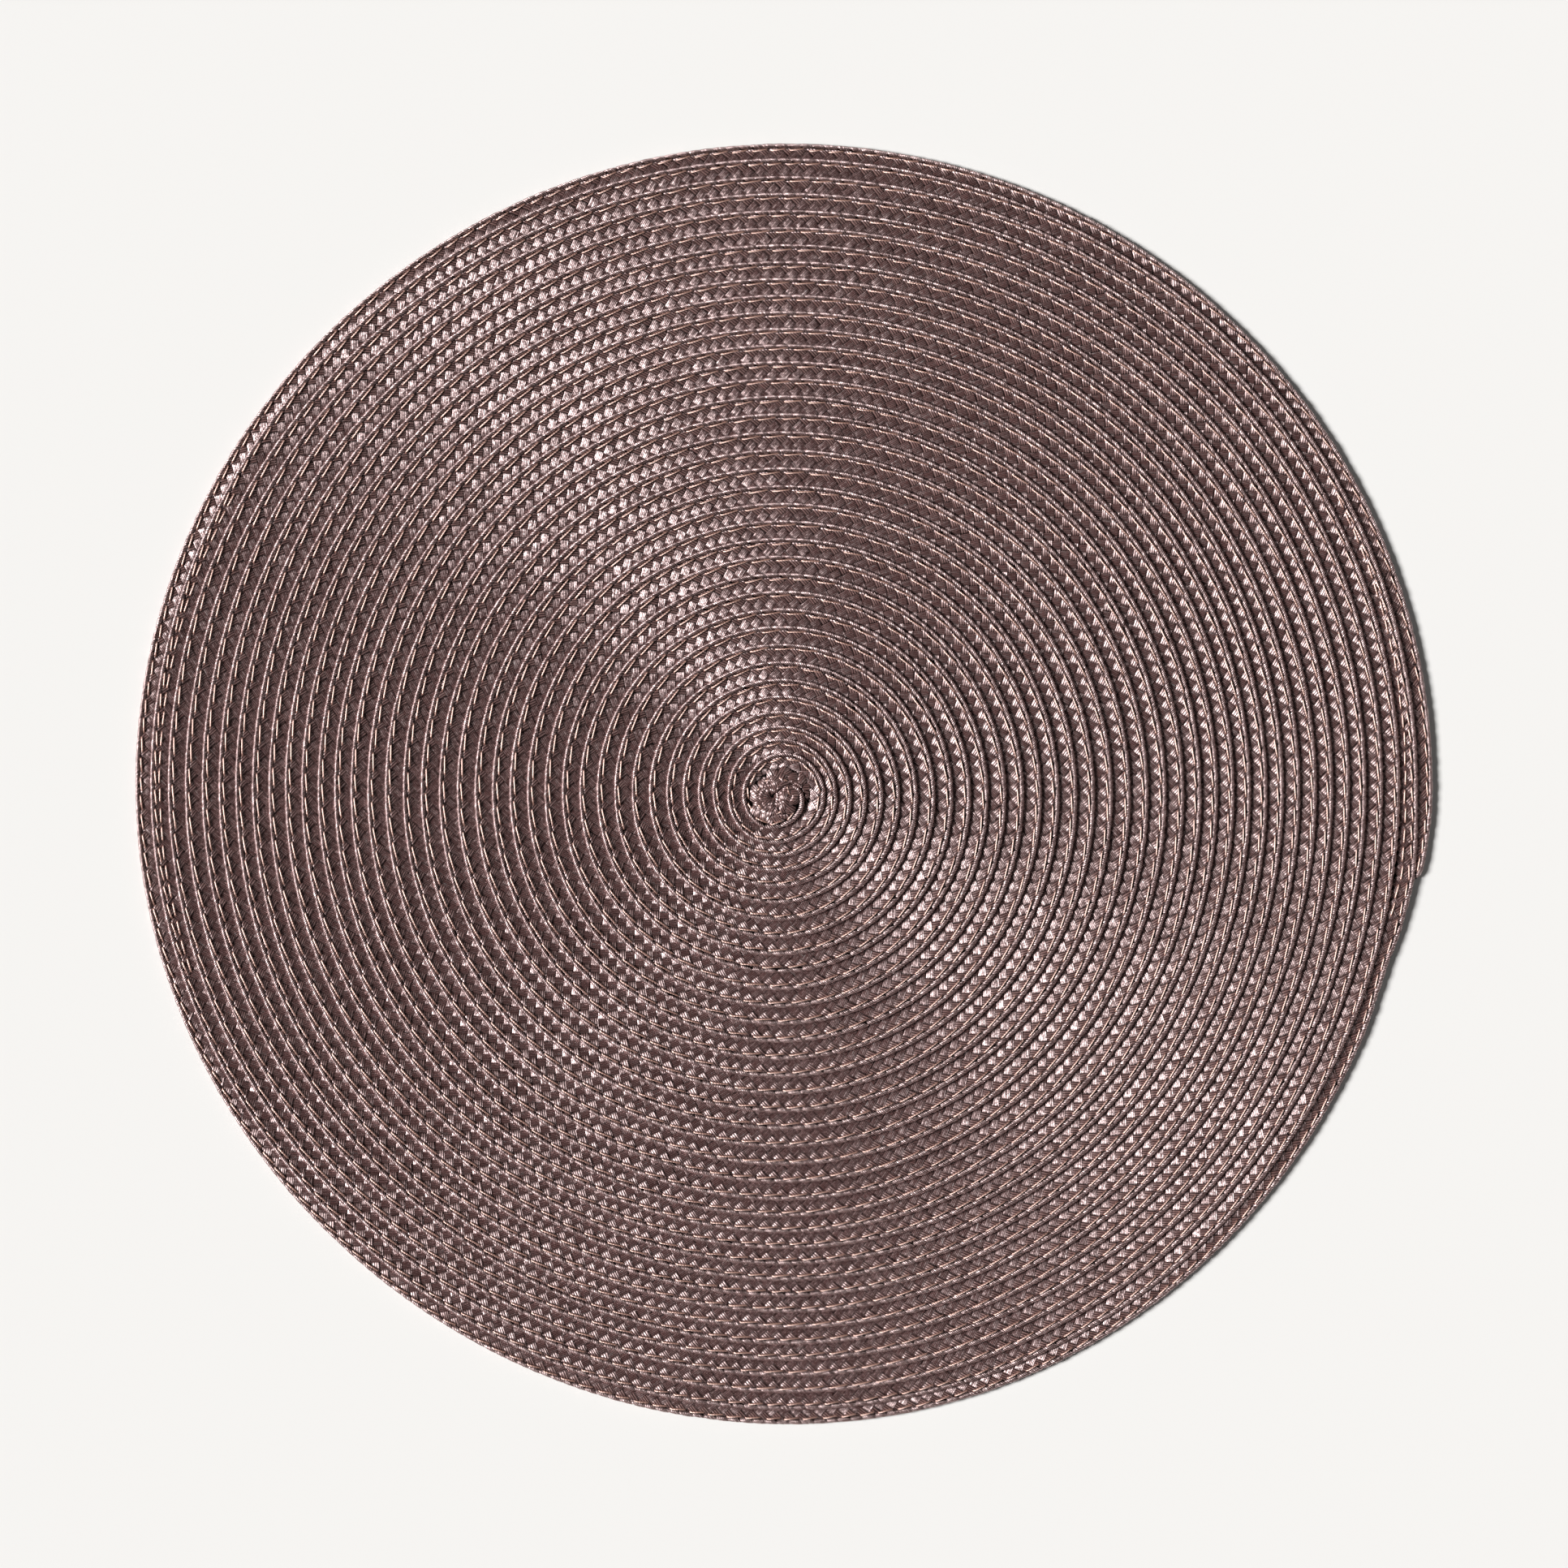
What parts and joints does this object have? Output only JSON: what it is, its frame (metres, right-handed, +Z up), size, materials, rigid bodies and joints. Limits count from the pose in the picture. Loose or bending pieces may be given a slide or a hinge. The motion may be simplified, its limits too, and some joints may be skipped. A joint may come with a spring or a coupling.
{
  "type": "round braided placemat",
  "caption": "Round flat placemat of taupe braided tape, wound in a shingled spiral and sewn turn to turn.",
  "frame": {"origin": "middle of the mat's box, on the surface that the mat lies on", "axes": "+Z up out of the mat's right side; the tape's outer end lies near +X, a little towards -Y"},
  "size_m": [0.3804, 0.3762, 0.0028],
  "materials": {
    "braided_tape": "satin filament yarn, plaited diagonally"
  },
  "bodies": {
    "root": {"spiral_mat": "braided_tape"}
  },
  "joints": []
}
